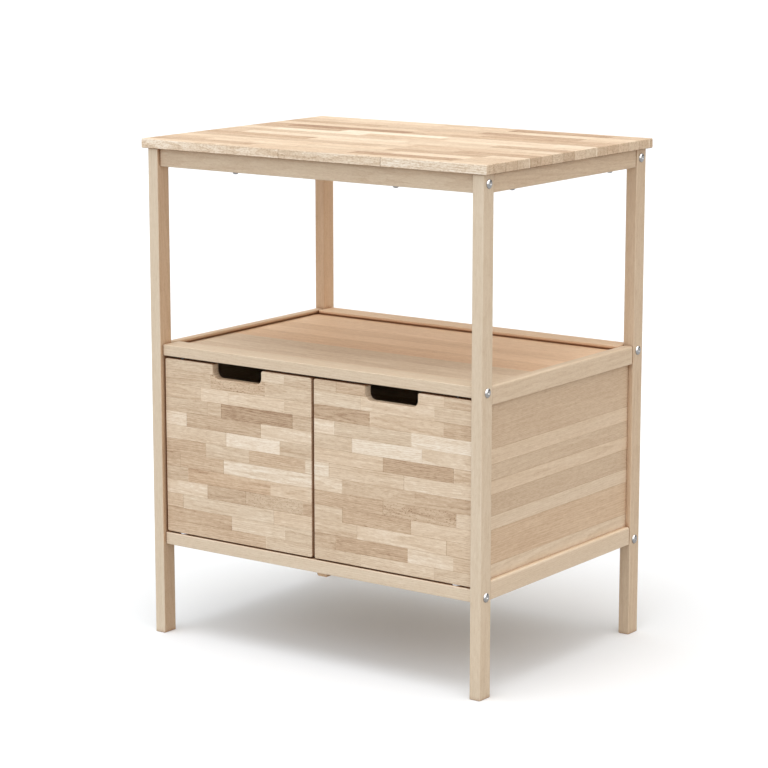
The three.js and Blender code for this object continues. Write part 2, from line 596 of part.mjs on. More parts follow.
// pan-head screw driven upwards; the piece it holds starts at z = 0, its tip is at z = reach
function screwGeometry(reach) {
  const r = SCREW_HEAD_RADIUS;
  const top = -GAP;
  const bottom = top - SCREW_HEAD_HEIGHT;
  const profile = [
    [0, bottom], [r - 2.2, bottom], [r - 0.8, bottom + 0.7], [r, bottom + 1.9], [r, top],
    [SCREW_RADIUS, top], [SCREW_RADIUS, reach - 3], [0, reach],
  ].map(([radius, along]) => new THREE.Vector2(radius, along));
  const turned = new THREE.LatheGeometry(profile, 16);
  turned.rotateX(Math.PI / 2);
  const slot = (dx, dy) => box(-dx, dx, -dy, dy, bottom - 1, bottom + CROSS_DEPTH);
  return geometryOf(cut(solid(turned),
    slot(CROSS_LENGTH / 2, CROSS_WIDTH / 2), slot(CROSS_WIDTH / 2, CROSS_LENGTH / 2)));
}

const TOP_SCREW = screwGeometry(TOP_UNDERSIDE + SCREW_INTO_TOP - UPPER_RAIL_BOTTOM);
const BATTEN_SCREW = screwGeometry(LOWER_RAIL_BOTTOM + SCREW_INTO_RAIL - BATTEN_SCREW_SEAT);
for (const [end, sy] of ENDS) {
  for (const [side, sx] of SIDES) {
    copy(`top_screw_${end}_rail_${side}`, TOP_SCREW, MATERIALS.screw,
      sx * TOP_SCREW_X, sy * BOLT_Y, UPPER_RAIL_BOTTOM);
    copy(`top_screw_${side}_rail_${end}`, TOP_SCREW, MATERIALS.screw,
      sx * SIDE_SKIN_X, sy * TOP_SCREW_Y, UPPER_RAIL_BOTTOM);
  }
  copy(`batten_screw_${end}`, BATTEN_SCREW, MATERIALS.screw, 0, sy * BATTEN_SCREW_Y, BATTEN_SCREW_SEAT);
}

export default table;
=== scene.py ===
import math
import random

import bmesh
import bpy
from mathutils import Matrix, Vector


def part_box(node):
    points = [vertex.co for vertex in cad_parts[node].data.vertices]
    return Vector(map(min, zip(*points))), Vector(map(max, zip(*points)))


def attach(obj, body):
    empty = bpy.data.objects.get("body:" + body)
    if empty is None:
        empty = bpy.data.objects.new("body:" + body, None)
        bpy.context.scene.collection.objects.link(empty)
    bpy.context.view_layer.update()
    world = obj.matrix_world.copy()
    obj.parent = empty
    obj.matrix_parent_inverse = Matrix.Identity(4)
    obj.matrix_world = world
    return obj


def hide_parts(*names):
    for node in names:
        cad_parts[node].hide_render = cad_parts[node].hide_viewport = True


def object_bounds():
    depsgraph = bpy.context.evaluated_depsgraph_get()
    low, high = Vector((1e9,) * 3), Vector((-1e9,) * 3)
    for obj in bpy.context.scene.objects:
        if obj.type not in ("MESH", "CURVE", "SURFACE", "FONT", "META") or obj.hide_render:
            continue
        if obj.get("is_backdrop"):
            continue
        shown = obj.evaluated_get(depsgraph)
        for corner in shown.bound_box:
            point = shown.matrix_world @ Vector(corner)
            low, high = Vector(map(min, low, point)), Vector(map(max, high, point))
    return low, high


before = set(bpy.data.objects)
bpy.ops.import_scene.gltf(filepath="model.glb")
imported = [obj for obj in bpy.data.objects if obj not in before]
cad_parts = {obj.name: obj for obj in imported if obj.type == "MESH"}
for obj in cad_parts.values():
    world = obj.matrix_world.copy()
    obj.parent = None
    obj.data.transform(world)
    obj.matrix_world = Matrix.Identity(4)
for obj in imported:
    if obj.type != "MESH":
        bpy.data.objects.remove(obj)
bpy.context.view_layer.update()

MM = 0.001
FAR = 9000.0  # stave ends that are outer edges lie beyond any coordinate, in mm
SEED = 52917
draw = random.Random(SEED)
AXES = {"x": 0, "y": 1, "z": 2}
LAYERS = ("stave", "tint", "pith", "glue")  # corner attributes that the wood material reads


# ---- colour -------------------------------------------------------------------------

def linear(r, g, b):
    """A colour given as 0 to 255 screen values, as linear light with alpha."""
    def one(c):
        c /= 255.0
        return c / 12.92 if c <= 0.04045 else ((c + 0.055) / 1.055) ** 2.4  # the sRGB curve
    return (one(r), one(g), one(b), 1.0)


# tone of raw beech, from old heart to sapwood
BEECH_TONES = (
    (-0.60, (112, 82, 58)),
    (-0.20, (158, 127, 98)),
    (0.05, (187, 161, 134)),
    (0.28, (203, 179, 152)),
    (0.50, (216, 196, 170)),
    (0.75, (228, 211, 188)),
    (0.92, (238, 225, 206)),
    (1.08, (245, 235, 219)),
    (1.40, (251, 245, 234)),
)
TONE_LOW, TONE_SPAN = BEECH_TONES[0][0], BEECH_TONES[-1][0] - BEECH_TONES[0][0]
WHITE = (1.0, 1.0, 1.0, 1.0)


# ---- node networks ------------------------------------------------------------------

class Net:
    """A material's node tree. Every argument is a number, a tuple or another node's socket."""

    def __init__(self, name):
        self.material = bpy.data.materials.new(name)
        self.material.use_nodes = True
        self.tree = self.material.node_tree
        self.tree.nodes.clear()
        self.shader = self.node("ShaderNodeBsdfPrincipled")
        out = self.node("ShaderNodeOutputMaterial")
        self.tree.links.new(self.shader.outputs["BSDF"], out.inputs["Surface"])

    def node(self, kind, **settings):
        n = self.tree.nodes.new(kind)
        for key, value in settings.items():
            setattr(n, key, value)
        return n

    def feed(self, socket, value):
        if isinstance(value, bpy.types.NodeSocket):
            self.tree.links.new(value, socket)
        else:
            socket.default_value = value

    def math(self, operation, a, b=0.0, c=0.0, clamp=False):
        n = self.node("ShaderNodeMath", operation=operation, use_clamp=clamp)
        for socket, value in zip(n.inputs, (a, b, c)):
            self.feed(socket, value)
        return n.outputs[0]

    def add(self, *terms):
        total = terms[0]
        for t in terms[1:]:
            total = self.math("ADD", total, t)
        return total

    def times(self, a, b):
        return self.math("MULTIPLY", a, b)

    def swing(self, noise, amount):
        """A noise of 0 to 1 as minus to plus amount."""
        return self.math("MULTIPLY_ADD", noise, 2 * amount, -amount)

    def ease(self, value, start, end):
        """0 at start, 1 at end, smooth between; start may be above end."""
        n = self.node("ShaderNodeMapRange", interpolation_type="SMOOTHSTEP")
        flip = start > end
        for key, v in zip(("Value", "From Min", "From Max", "To Min", "To Max"),
                          (value, min(start, end), max(start, end), float(flip), float(not flip))):
            self.feed(n.inputs[key], v)
        return n.outputs["Result"]

    def vector(self, x, y, z):
        n = self.node("ShaderNodeCombineXYZ")
        for socket, value in zip(n.inputs, (x, y, z)):
            self.feed(socket, value)
        return n.outputs[0]

    def split(self, vector):
        n = self.node("ShaderNodeSeparateXYZ")
        self.feed(n.inputs[0], vector)
        return n.outputs

    def spread(self, vector, scale):
        n = self.node("ShaderNodeVectorMath", operation="MULTIPLY")
        self.feed(n.inputs[0], vector)
        self.feed(n.inputs[1], scale)
        return n.outputs[0]

    def place(self):
        """Where a point lies on its object, in mm, and which way its face looks."""
        n = self.node("ShaderNodeTexCoord")
        return self.spread(n.outputs["Object"], (1 / MM,) * 3), n.outputs["Normal"]

    def noise(self, vector, scale, detail=2.0, rough=0.5, distortion=0.0):
        n = self.node("ShaderNodeTexNoise")
        self.feed(n.inputs["Vector"], self.spread(vector, scale))
        n.inputs["Scale"].default_value = 1.0
        n.inputs["Detail"].default_value = detail
        n.inputs["Roughness"].default_value = rough
        n.inputs["Distortion"].default_value = distortion
        return n.outputs["Fac"]

    def ramp(self, value, stops):
        n = self.node("ShaderNodeValToRGB")
        self.feed(n.inputs[0], value)
        while len(n.color_ramp.elements) < len(stops):
            n.color_ramp.elements.new(0.5)
        for e, (at, colour) in zip(n.color_ramp.elements, stops):
            e.position = at
            e.color = colour
        return n.outputs["Color"]

    def blend(self, factor, a, b, kind="MIX"):
        n = self.node("ShaderNodeMix", data_type="RGBA", blend_type=kind)
        for number, value in ((0, factor), (6, a), (7, b)):  # the colour sockets of a mix node
            self.feed(n.inputs[number], value)
        return n.outputs[2]

    def bump(self, height, strength, distance):
        n = self.node("ShaderNodeBump")
        n.inputs["Strength"].default_value = strength
        n.inputs["Distance"].default_value = distance
        self.feed(n.inputs["Height"], height)
        self.tree.links.new(n.outputs["Normal"], self.shader.inputs["Normal"])


# ---- beech --------------------------------------------------------------------------

# noise frequencies per mm along the grain and across it, then detail, roughness and distortion
FIGURE = {
    "wander": (0.007, 0.045, 2.0, 0.5, 0.0),
    "ripple": (0.05, 0.35, 2.0, 0.6, 0.0),
    "broad": (0.0035, 0.022, 2.0, 0.5, 0.0),
    "streak": (0.008, 0.20, 2.0, 0.6, 0.0),
    "mottle": (0.085, 0.26, 2.0, 0.5, 0.0),
    "thread": (0.055, 0.55, 2.0, 0.6, 0.0),
    "fibre": (0.10, 1.4, 3.0, 0.65, 0.0),
    "fleck": (0.16, 0.62, 2.0, 0.6, 0.2),
    "side_ray": (0.26, 0.62, 1.0, 0.5, 0.0),
    "dot": (0.33, 0.5, 1.0, 0.5, 0.0),
    "mineral": (0.0045, 0.13, 2.0, 0.5, 0.3),
}
# noise levels at which a mark begins and at which it is full
MARKS = {"fleck": (0.56, 0.68), "side_ray": (0.50, 0.60), "dot": (0.60, 0.68), "mineral": (0.60, 0.74)}
# how far each kind of figure and each mark moves the tone
SWINGS = {"broad": 0.18, "streak": 0.26, "mottle": 0.22, "thread": 0.26, "fibre": 0.38}
LATE_TONE, FLECK_TONE, SIDE_RAY_TONE, DOT_TONE, MINERAL_TONE = -0.18, -0.14, -0.13, -0.42, -0.12
SIDE_GLUE_TONE, WORN_TONE = -0.36, 0.10
SEED_SHIFTS = (977.0, 311.0, 173.0)          # mm per unit of seed that carry a stave to its own wood
RING_WANDER, RING_RIPPLE = 5.0, 0.55         # mm
LATE_RISE, LATE_END = (0.35, 0.93), (1.0, 0.95)  # shares of a ring where late wood builds up and ends
# distances in mm from a stave's edge at which its glue line starts to show and is full
END_GLUE, SIDE_GLUE, PALE_GLUE, END_GRAIN_GLUE = (0.9, 0.2), (0.8, 0.15), (1.5, 0.8), (0.8, 0.2)
GLUE_SHOWS = (0.30, 0.55)                    # streak levels between which a side glue line fades in
BUTT_SHUFFLE, BUTT_SWING, BUTT_MEAN = 7.31, 0.42, -0.08  # butt joints are dark or pale by the stave
PALE_GLUE_TONE, END_GRAIN_GLUE_TONE = 0.75, -0.15
LOOKS_ALONG = (0.62, 0.86)                   # cosines between which a face comes to look along an axis
EASED = (0.995, 0.86)                        # largest cosine of a face, from flat to eased edge
WORN_PATCHES = (0.3, 0.65)                   # broad noise levels between which edges get polished
UNDER_SHADE_START, UNDER_SHADE_END = (0.25, 0.6), (0.99, 0.93)  # how far down an edge looks where painted shade darkens it
EDGE_MOTTLE, EDGE_BUTT = -0.6, -0.75         # less mottle and darker butt joints on a board's edge
END_GRAIN_OWN, END_GRAIN_TONE = -0.60, 0.42  # end grain evens out the staves' own tones
HUE_GAIN = 0.58
COOL_CAST, WARM_CAST = (0.995, 0.997, 0.99, 1.0), (1.10, 0.905, 0.745, 1.0)
WOOD_ROUGHNESS, WOOD_IOR, WOOD_SPECULAR = 0.60, 1.47, 0.35
FIBRE_ROUGH, WORN_ROUGH, FLECK_ROUGH, END_GRAIN_ROUGH = 0.10, -0.12, 0.08, 0.10
RELIEF_STRENGTH, RELIEF_DEPTH = 0.55, 0.18 * MM
# how high fibre, threads, late wood, flecks, dots, side and end glue stand in the relief
RELIEF = (0.9, 0.7, 0.25, -0.5, -0.6, -0.8, -0.5)

CREVICE_SHADE = (0.52, 0.32, 0.20, 1.0)            # painted shade: what is left of the wood's colour deep in a joint
CREVICE_SHADE_REACH, CREVICE_SHADE_RAYS = 14 * MM, 6
CREVICE_SHADE_OPEN = (0.80, 0.15)                  # openness at which the painted shade in a joint starts and is full


def painted_crevice_shade(n):
    """Painted shade: 0 on open wood, 1 deep in a joint, a slot or under an overhang, where the colour is
    darkened to stand in for the shade there.
    """
    near = n.node("ShaderNodeAmbientOcclusion", samples=CREVICE_SHADE_RAYS)
    near.inputs["Distance"].default_value = CREVICE_SHADE_REACH
    return n.ease(near.outputs["AO"], *CREVICE_SHADE_OPEN)


def beech(name, order, tone=0.0, contrast=1.0, side_fleck=1.0, side_lift=0.0, under_edge_shade=0.0):
    """Raw sanded beech. order names the axes along the grain, across it and through it.
    Mesh attributes give each stave its edges, its tone and where its tree's pith lay.
    side_fleck is how strongly ray flecks show on the faces that look across the grain,
    side_lift how much paler those faces are, and the under-edge shade how much painted shade
    darkens the eased edges that turn under."""
    n = Net(name)
    at, normal = n.place()
    xyz = n.split(at)
    u, v, w = (xyz[AXES[a]] for a in order)
    face = n.split(normal)
    stave, tint, pith, glue = (n.node("ShaderNodeAttribute", attribute_name=a) for a in LAYERS)
    u0, u1, v0 = n.split(stave.outputs["Vector"])
    v1 = stave.outputs["Alpha"]
    own_tone, hue, seed = n.split(tint.outputs["Vector"])
    speckle = tint.outputs["Alpha"]
    pith_v, pith_w, ring_gap = n.split(pith.outputs["Vector"])
    taper = pith.outputs["Alpha"]
    glue_low, glue_high, _ = n.split(glue.outputs["Vector"])
    wood = n.vector(*(n.math("MULTIPLY_ADD", seed, shift, a) for shift, a in zip(SEED_SHIFTS, (u, v, w))))

    def figure(kind):
        along, across, *character = FIGURE[kind]
        return n.noise(wood, (along, across, across), *character)

    def mark(kind):
        return n.ease(figure(kind), *MARKS[kind])

    def facing(axis):
        return n.ease(n.math("ABSOLUTE", face[AXES[axis]]), *LOOKS_ALONG)

    # growth rings round the pith, wandering a little along the stave
    wander = n.swing(figure("wander"), RING_WANDER)
    ripple = n.swing(figure("ripple"), RING_RIPPLE)
    length = n.node("ShaderNodeVectorMath", operation="LENGTH")
    n.feed(length.inputs[0], n.vector(n.math("SUBTRACT", n.add(v, wander), pith_v),
                                      n.math("SUBTRACT", w, pith_w), 0.0))
    radius = n.add(length.outputs["Value"], n.times(u, taper), ripple)
    phase = n.math("FRACT", n.math("DIVIDE", radius, ring_gap))
    late = n.times(n.ease(phase, *LATE_RISE), n.ease(phase, *LATE_END))

    broad, streak, mottle = figure("broad"), figure("streak"), figure("mottle")
    thread, fibre = figure("thread"), figure("fibre")
    fleck, mineral = mark("fleck"), mark("mineral")
    dots = n.times(mark("dot"), speckle)
    across_end, edge_on = facing(order[0]), facing(order[1])
    side_rays = n.times(n.times(mark("side_ray"), edge_on), side_fleck)

    # thin glue lines between staves, dark on the faces and pale on the end grain of some rows
    to_end = n.math("MINIMUM", n.math("SUBTRACT", u, u0), n.math("SUBTRACT", u1, u))
    to_side = n.math("MINIMUM", n.math("SUBTRACT", v, v0), n.math("SUBTRACT", v1, v))
    end_glue = n.ease(to_end, *END_GLUE)
    side_glue = n.times(n.ease(to_side, *SIDE_GLUE), n.ease(streak, *GLUE_SHOWS))
    butt = n.math("ADD", n.swing(n.math("FRACT", n.times(seed, BUTT_SHUFFLE)), BUTT_SWING), BUTT_MEAN)
    pale_low = n.times(n.ease(n.math("SUBTRACT", v, v0), *PALE_GLUE), glue_low)
    pale_high = n.times(n.ease(n.math("SUBTRACT", v1, v), *PALE_GLUE), glue_high)
    end_line = n.times(across_end, n.add(
        n.times(n.math("MAXIMUM", pale_low, pale_high), PALE_GLUE_TONE),
        n.times(n.ease(to_side, *END_GRAIN_GLUE), END_GRAIN_GLUE_TONE)))

    # eased edges are polished by hands; where they turn under, painted shade darkens them
    flat = n.math("MAXIMUM", n.math("MAXIMUM", n.math("ABSOLUTE", face[0]), n.math("ABSOLUTE", face[1])),
                  n.math("ABSOLUTE", face[2]))
    worn = n.times(n.ease(flat, *EASED), n.ease(broad, *WORN_PATCHES))
    down = n.times(face[2], -1.0)
    painted_under_shade = n.times(n.times(n.ease(down, *UNDER_SHADE_START), n.ease(down, *UNDER_SHADE_END)), -under_edge_shade)

    level = n.add(
        own_tone, tone,
        n.swing(broad, SWINGS["broad"] * contrast), n.swing(streak, SWINGS["streak"] * contrast),
        n.times(n.swing(mottle, SWINGS["mottle"] * contrast),
                n.math("MULTIPLY_ADD", edge_on, EDGE_MOTTLE, 1.0)),
        n.swing(thread, SWINGS["thread"] * contrast), n.swing(fibre, SWINGS["fibre"] * contrast),
        n.times(late, LATE_TONE * contrast), n.times(fleck, FLECK_TONE * contrast),
        n.times(side_rays, SIDE_RAY_TONE * contrast), n.times(dots, DOT_TONE),
        n.times(mineral, MINERAL_TONE * contrast),
        n.times(end_glue, n.math("MULTIPLY_ADD", edge_on, EDGE_BUTT, butt)),
        n.times(side_glue, SIDE_GLUE_TONE), n.times(worn, WORN_TONE),
        n.times(edge_on, side_lift), end_line, painted_under_shade,
        n.times(across_end, n.math("MULTIPLY_ADD", own_tone, END_GRAIN_OWN, END_GRAIN_TONE)))
    stops = [((t - TONE_LOW) / TONE_SPAN, linear(*c)) for t, c in BEECH_TONES]
    colour = n.ramp(n.math("MULTIPLY_ADD", level, 1 / TONE_SPAN, -TONE_LOW / TONE_SPAN), stops)
    cast = n.blend(n.times(hue, HUE_GAIN), COOL_CAST, WARM_CAST)
    wood_colour = n.blend(1.0, colour, cast, "MULTIPLY")
    # painted shade: the colour is darkened deep in joints, slots and under overhangs
    shaded_in_crevice = n.blend(1.0, wood_colour, CREVICE_SHADE, "MULTIPLY")
    n.feed(n.shader.inputs["Base Color"], n.blend(painted_crevice_shade(n), wood_colour, shaded_in_crevice))
    n.feed(n.shader.inputs["Roughness"], n.math("ADD", n.add(
        n.swing(fibre, FIBRE_ROUGH), n.times(worn, WORN_ROUGH), n.times(fleck, FLECK_ROUGH),
        n.times(across_end, END_GRAIN_ROUGH)), WOOD_ROUGHNESS, clamp=True))
    n.shader.inputs["IOR"].default_value = WOOD_IOR
    n.shader.inputs["Specular IOR Level"].default_value = WOOD_SPECULAR
    height = n.add(*(n.times(value, rise) for value, rise in zip(
        (fibre, thread, late, fleck, dots, side_glue, end_glue), RELIEF)))
    n.bump(height, RELIEF_STRENGTH, RELIEF_DEPTH)
    return n.material


# ---- steel and plastic surfaces -----------------------------------------------------

# noise frequencies per mm, then detail, roughness and distortion
STEEL_CLOUD = ((0.5, 0.5, 0.5), 3.0, 0.55)
STEEL_SCUFF = ((1.3, 4.0, 2.1), 2.0, 0.5, 0.6)
PLASTIC_SKIN = ((3.0, 3.0, 3.0), 2.0, 0.6)
PLASTIC_CLOUD = ((0.12, 0.12, 0.12), 2.0, 0.5)
TURNED = (3.0, 0.6)                          # detail and roughness of the turning marks
SCUFF_LEVELS = (0.60, 0.72)                  # noise levels at which a scuff begins and is full
STEEL_TONE, MIDDLE = 0.10, 0.5               # how far each of them moves the tone from the middle
STEEL_DARK, STEEL_PALE, PLASTIC_DARK = 0.72, 1.22, 0.88  # end tones as shares of the colour
CLOUD_TONE, SKIN_TONE = 0.35, 0.15
SCUFF_ROUGH, PLASTIC_ROUGH = 0.12, 0.08
MARK_RISE, SCUFF_RISE = 0.6, -0.5
STEEL_RELIEF, PLASTIC_RELIEF = (0.3, 0.04 * MM), (0.4, 0.05 * MM)  # strength and depth


def shade(colour, factor):
    """The colour made darker or paler, short of clipping."""
    return tuple(min(1.0, c * factor) for c in colour[:3]) + (1.0,)


def steel(name, colour, roughness, grain, rough_swing):
    """Bright zinc on steel: fine turning marks, faint cloudiness and small scuffs. grain is the
    frequency of the turning marks along x, y and z, per mm."""
    n = Net(name)
    at, _ = n.place()
    cloud = n.noise(at, *STEEL_CLOUD)
    marks = n.noise(at, grain, *TURNED)
    scuff = n.ease(n.noise(at, *STEEL_SCUFF), *SCUFF_LEVELS)
    tone = n.math("ADD", n.add(n.swing(cloud, STEEL_TONE), n.swing(marks, STEEL_TONE),
                               n.times(scuff, -STEEL_TONE)), MIDDLE, clamp=True)
    stops = [(0.0, shade(colour, STEEL_DARK)), (MIDDLE, colour), (1.0, shade(colour, STEEL_PALE))]
    n.feed(n.shader.inputs["Base Color"], n.ramp(tone, stops))
    n.shader.inputs["Metallic"].default_value = 1.0
    n.feed(n.shader.inputs["Roughness"], n.math("ADD", n.add(
        n.swing(cloud, rough_swing), n.times(scuff, SCUFF_ROUGH)), roughness, clamp=True))
    n.bump(n.add(n.times(marks, MARK_RISE), n.times(scuff, SCUFF_RISE)), *STEEL_RELIEF)
    return n.material


def plastic(name, colour, roughness):
    """Moulded plastic with a fine spark-eroded texture and slight cloudiness."""
    n = Net(name)
    at, _ = n.place()
    skin = n.noise(at, *PLASTIC_SKIN)
    cloud = n.noise(at, *PLASTIC_CLOUD)
    tone = n.math("ADD", n.add(n.swing(cloud, CLOUD_TONE), n.swing(skin, SKIN_TONE)), MIDDLE, clamp=True)
    n.feed(n.shader.inputs["Base Color"],
           n.ramp(tone, [(0.0, shade(colour, PLASTIC_DARK)), (1.0, colour)]))
    n.feed(n.shader.inputs["Roughness"],
           n.math("ADD", n.swing(cloud, PLASTIC_ROUGH), roughness, clamp=True))
    n.bump(skin, *PLASTIC_RELIEF)
    return n.material


# ---- wooden pieces ------------------------------------------------------------------

SHARP_ANGLE = math.radians(50)   # edges that fold more than this stay crisp
FLAT_ANGLE = math.radians(0.2)   # faces that fold less than this are one flat face
WELD, ON_CUT = 2e-6, 1e-5        # metres within which corners are one, or lie on a cut
FACE_AREA_WEIGHT = 90            # how strongly large faces keep their own normal
TOWARD_X = 0.9                   # cosine above which a face looks along +X
SLENDER_ROW = 4                  # mm, the narrowest last row of an even layout
TONES = {"B": 1.06, "b": 0.92, "l": 0.74, "m": 0.50, "t": 0.28, "d": 0.04}
MIDDLE_TONE = TONES["m"]


def tone_of(letters):
    """Tone, pink and specks of a stave: tone letters are averaged, P is pink, S has specks."""
    known = [TONES[c] for c in letters if c in TONES]
    return sum(known) / len(known), "P" in letters, "S" in letters


def read_row(text):
    """'105lm 208m' as a list of (end in mm, tone, pink, specks)."""
    out = []
    for word in text.split():
        digits = "".join(c for c in word if c.isdigit())
        out.append((float(digits), *tone_of(word[len(digits):])))
    return out


def welded(node):
    """The CAD node's solid with its corners joined, as a bmesh."""
    bm = bmesh.new()
    bm.from_mesh(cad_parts[node].data)
    for kind in (bm.loops.layers.float_vector, bm.loops.layers.uv):
        for layer in list(kind):
            kind.remove(layer)
    bmesh.ops.remove_doubles(bm, verts=bm.verts, dist=WELD)
    bmesh.ops.dissolve_limit(bm, angle_limit=FLAT_ANGLE, verts=bm.verts, edges=bm.edges)
    return bm


def slice_at(bm, faces, axis, at):
    """Cuts the faces along the plane where axis is at mm."""
    edges = {e for f in faces for e in f.edges}
    verts = {v for f in faces for v in f.verts}
    co, normal = Vector((0, 0, 0)), Vector((0, 0, 0))
    co[axis], normal[axis] = at * MM, 1.0
    geometry = list(verts) + list(edges) + list(faces)
    bmesh.ops.bisect_plane(bm, geom=geometry, dist=ON_CUT, plane_co=co, plane_no=normal)


# how far from a stave's middle its tree's centre lay, in mm, across the stave and through it:
# below or above a flat-sawn face, beside a quarter-sawn one
FLAT_ACROSS, FLAT_THROUGH = (-9, 9), (16, 48)
QUARTER_ACROSS, QUARTER_THROUGH = (35, 110), (-30, 30)
PLAIN_HUES, PINK_HUE = (0.22, 0.45), 0.62
SEEDS, FAINT_SPECKS = (0.3, 9.0), (0.0, 0.18)
RING_GAPS, TAPERS = (2.1, 3.9), (0.008, 0.04)  # mm from ring to ring, and mm per mm along the grain
WIDEST = 1000                                  # mm, stands in for the open side of an outer row


def pith_for(v_mid, w_mid, flatness):
    """Where the centre of the stave's tree lay, in mm across and through the stave."""
    side = draw.choice((-1, 1))
    if draw.random() < flatness:
        return v_mid + draw.uniform(*FLAT_ACROSS), w_mid + side * draw.uniform(*FLAT_THROUGH)
    return v_mid + side * draw.uniform(*QUARTER_ACROSS), w_mid + draw.uniform(*QUARTER_THROUGH)


class Stave:
    """One stave's corner attributes: its edges, tone, hue, seed, specks, pith, rings and glue."""

    def __init__(self, u0, u1, v0, v1, w_mid, tone, pink=False, specks=False, flatness=0.4, jitter=0.04,
                 hue=None, glue=(0.0, 0.0), pink_hue=PINK_HUE):
        v_mid = (max(v0, -WIDEST) + min(v1, WIDEST)) / 2
        pith = pith_for(v_mid, w_mid, flatness)
        plain_hue = draw.uniform(*PLAIN_HUES)
        if hue is not None:
            plain_hue = hue
        self.stave = (u0, u1, v0, v1)
        self.glue = (*glue, 0.0, 0.0)
        self.tint = (tone + draw.uniform(-jitter, jitter), pink_hue if pink else plain_hue,
                     draw.uniform(*SEEDS), 1.0 if specks else draw.uniform(*FAINT_SPECKS))
        self.rings = (draw.uniform(*RING_GAPS), draw.choice((-1, 1)) * draw.uniform(*TAPERS))
        self.pith = (*pith, *self.rings)

    def grow_round(self, v_mid, w_mid, flatness):
        """Moves the pith to where it lies for a stave with this middle."""
        self.pith = (*pith_for(v_mid, w_mid, flatness), *self.rings)


def paint(bm, faces, stave):
    """Writes the stave's attributes to the corners of the faces."""
    layers = {key: bm.loops.layers.float_color.get(key) or bm.loops.layers.float_color.new(key)
              for key in LAYERS}
    for f in faces:
        for loop in f.loops:
            for key, layer in layers.items():
                loop[layer] = getattr(stave, key)


def finish_piece(bm, name, nodes, body, material):
    """The bmesh as an object with soft eased edges and crisp corners, riding on its body."""
    bmesh.ops.recalc_face_normals(bm, faces=bm.faces)
    for f in bm.faces:
        f.smooth = True
    for e in bm.edges:
        e.smooth = len(e.link_faces) == 2 and e.calc_face_angle() < SHARP_ANGLE
    mesh = bpy.data.meshes.new(name)
    bm.to_mesh(mesh)
    bm.free()
    mesh.materials.append(material)
    obj = bpy.data.objects.new(name, mesh)
    bpy.context.scene.collection.objects.link(obj)
    weigh = obj.modifiers.new("face_weight", "WEIGHTED_NORMAL")
    weigh.mode = "FACE_AREA"
    weigh.weight = FACE_AREA_WEIGHT
    weigh.keep_sharp = True
    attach(obj, body)
    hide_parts(*nodes)


def board(node, order, material, tone, flatness=0.4, hue=None, painted_side_shade=None):
    """A piece of the frame sawn from one board. The painted side shade is how much redder and darker its
    +X face is made, standing in for shade and warm light thrown back by the wood; a negative darkness
    makes it paler."""
    low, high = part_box(node)
    v, w = AXES[order[1]], AXES[order[2]]
    v_mid, w_mid = ((low[axis] + high[axis]) / 2 / MM for axis in (v, w))
    bm = welded(node)
    s = Stave(-FAR, FAR, -FAR, FAR, w_mid, tone, flatness=flatness, hue=hue)
    s.grow_round(v_mid, w_mid, flatness)
    paint(bm, bm.faces, s)
    # painted shade: the +X face gets its own redder and darker tone
    if painted_side_shade:
        redder, darker = painted_side_shade
        s.tint = (s.tint[0] - darker, s.tint[1] + redder, *s.tint[2:])
        paint(bm, [f for f in bm.faces if f.normal.x > TOWARD_X], s)
    finish_piece(bm, node + "_board", [node], "frame", material)


def glued(node, order, material, top, bottoms, rows, left, name, body="frame", flatness=0.3,
          jitter=0.04, gain=1.0, pale_joints=(), pink_hue=PINK_HUE):
    """A piece glued up from staves. Rows run down from top (mm), each ending at one of bottoms;
    in a row the staves run from left (mm), each to the end that its word gives. gain stretches
    the staves' tones away from the middle. Below the rows numbered in pale_joints the glue
    shows pale on the end grain."""
    low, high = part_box(node)
    u, v, w = (AXES[a] for a in order)
    w_mid = (low[w] + high[w]) / 2 / MM
    bm = welded(node)
    levels = [top - b for b in bottoms]
    for level in levels[:-1]:
        slice_at(bm, list(bm.faces), v, level)
    upper = FAR
    glue_above = 0.0
    for number, (row, level) in enumerate(zip(rows, levels)):
        glue_below = float(number in pale_joints)
        lower = -FAR if number == len(rows) - 1 else level

        def inside(f, lo=lower, hi=upper):
            return lo < f.calc_center_bounds()[v] / MM < hi

        staves = read_row(row)
        for end, *_ in staves[:-1]:
            slice_at(bm, [f for f in bm.faces if inside(f)], u, left + end)
        start = -FAR
        for i, (end, tone, pink, specks) in enumerate(staves):
            stop = FAR if i == len(staves) - 1 else left + end
            tone = MIDDLE_TONE + (tone - MIDDLE_TONE) * gain
            s = Stave(start, stop, lower, upper, w_mid, tone, pink, specks, flatness, jitter,
                      glue=(glue_below, glue_above), pink_hue=pink_hue)
            s.grow_round((max(lower, top - bottoms[-1]) + min(upper, top)) / 2, w_mid, flatness)
            paint(bm, [f for f in bm.faces
                       if inside(f) and start < f.calc_center_bounds()[u] / MM < stop], s)
            start = stop
        upper = lower
        glue_above = glue_below
    finish_piece(bm, name, [node], body, material)


def block_rows(total, first, pitch, count):
    """Ends of count rows over total mm: a first row of its own width, even ones, then what is left."""
    return [first + pitch * i for i in range(count - 1)] + [total]


def even_rows(total, first, pitch):
    """The same, with as many rows as it takes."""
    ends = [first]
    while ends[-1] + pitch < total - SLENDER_ROW:
        ends.append(ends[-1] + pitch)
    return ends + [total]


post_wood = beech("beech_upright", "zxy", contrast=0.45)
rail_wood = beech("beech_rail_long", "xyz", contrast=0.5)
side_rail_wood = beech("beech_rail_side", "yxz", contrast=0.5)
top_wood = beech("beech_top", "xyz", tone=-0.14, contrast=1.25, side_fleck=1.8, side_lift=0.40,
                 under_edge_shade=0.8)
door_wood = beech("beech_door", "xzy", tone=0.05)
side_panel_wood = beech("beech_side_panel", "yzx", tone=0.02, contrast=0.65)
long_panel_wood = beech("beech_long_panel", "xyz", tone=0.13, contrast=0.8)
back_panel_wood = beech("beech_back_panel", "xzy", contrast=0.8)
